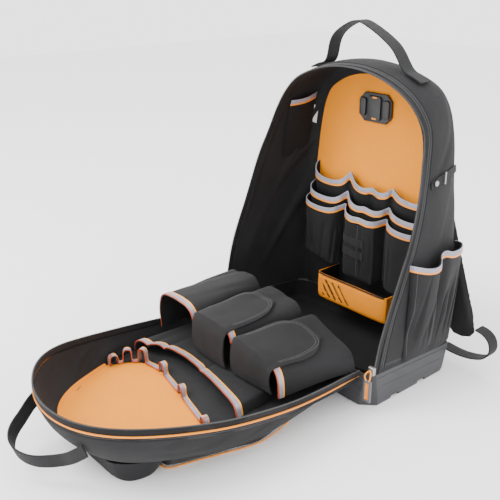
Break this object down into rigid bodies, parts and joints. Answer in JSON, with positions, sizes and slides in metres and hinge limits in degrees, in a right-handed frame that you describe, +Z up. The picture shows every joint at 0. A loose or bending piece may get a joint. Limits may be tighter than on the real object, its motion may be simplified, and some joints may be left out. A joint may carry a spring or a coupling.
{
  "type": "tool backpack",
  "caption": "Dark cloth tool backpack on a moulded base, standing with its front lid opened to the floor: inner organiser pockets, lid pouches with flaps, handles and padded straps.",
  "frame": {"origin": "middle of the moulded base's underside, on the floor", "axes": "+Z up, +Y toward the wearer's side, the lid opens toward -Y, +X across the bag to the right as seen from the open front"},
  "size_m": [0.5262, 0.7991, 0.595],
  "materials": {
    "cloth": "matt woven polyester, charcoal",
    "webbing": "woven nylon webbing",
    "plastic": "finely textured moulding",
    "orange_cloth": "bright coated lining",
    "reflective_tape": "reflective tape with orange edges",
    "metal": "plated",
    "rubber": "matt",
    "label": "woven tag"
  },
  "bodies": {
    "root": {"moulded_base": "plastic", "inner_tub": "cloth", "main_shell": "cloth", "mouth_zip": "webbing", "back_lining": "orange_cloth", "clip_bracket": "plastic", "organiser_upper": "cloth", "organiser_upper_trim": "reflective_tape", "organiser_middle": "cloth", "organiser_middle_trim": "reflective_tape", "organiser_lower": "cloth", "organiser_lower_trim": "reflective_tape", "ribbed_pocket": "orange_cloth", "wall_pocket": "cloth", "wall_pocket_trim": "reflective_tape", "tag_strip": "label", "side_pocket_right": "cloth", "side_pocket_right_trim": "reflective_tape", "side_pocket_left": "cloth", "side_pocket_left_trim": "reflective_tape", "side_tape_right": "webbing", "side_rivet_right": "metal", "side_bar_right": "metal", "side_tape_left": "webbing", "side_rivet_left": "metal", "side_bar_left": "metal", "lid_shell": "cloth", "lid_zip": "webbing", "lid_piping": "orange_cloth", "lid_lining": "orange_cloth", "outer_pocket_main": "cloth", "outer_pocket_tip": "cloth", "outer_piping": "orange_cloth", "lid_hinge": "cloth", "lid_pocket_row": "cloth", "lid_pocket_row_trim": "reflective_tape", "loop_tape": "reflective_tape", "loop_panel": "cloth", "pouch_left": "cloth", "pouch_left_trim": "reflective_tape", "pouch_middle": "cloth", "pouch_middle_trim": "reflective_tape", "flap_middle": "cloth", "pouch_right": "cloth", "pouch_right_trim": "reflective_tape", "flap_right": "cloth", "top_handle": "webbing", "lid_handle": "webbing", "shoulder_strap_right": "cloth", "strap_webbing_right": "webbing", "shoulder_strap_left": "cloth", "strap_webbing_left": "webbing", "back_pad_upper": "cloth", "back_pad_lower": "cloth", "zip_slider_right": "metal", "zip_cord_right": "orange_cloth", "zip_grip_right": "rubber", "zip_slider_left": "metal", "zip_cord_left": "orange_cloth", "zip_grip_left": "rubber"}
  },
  "joints": []
}
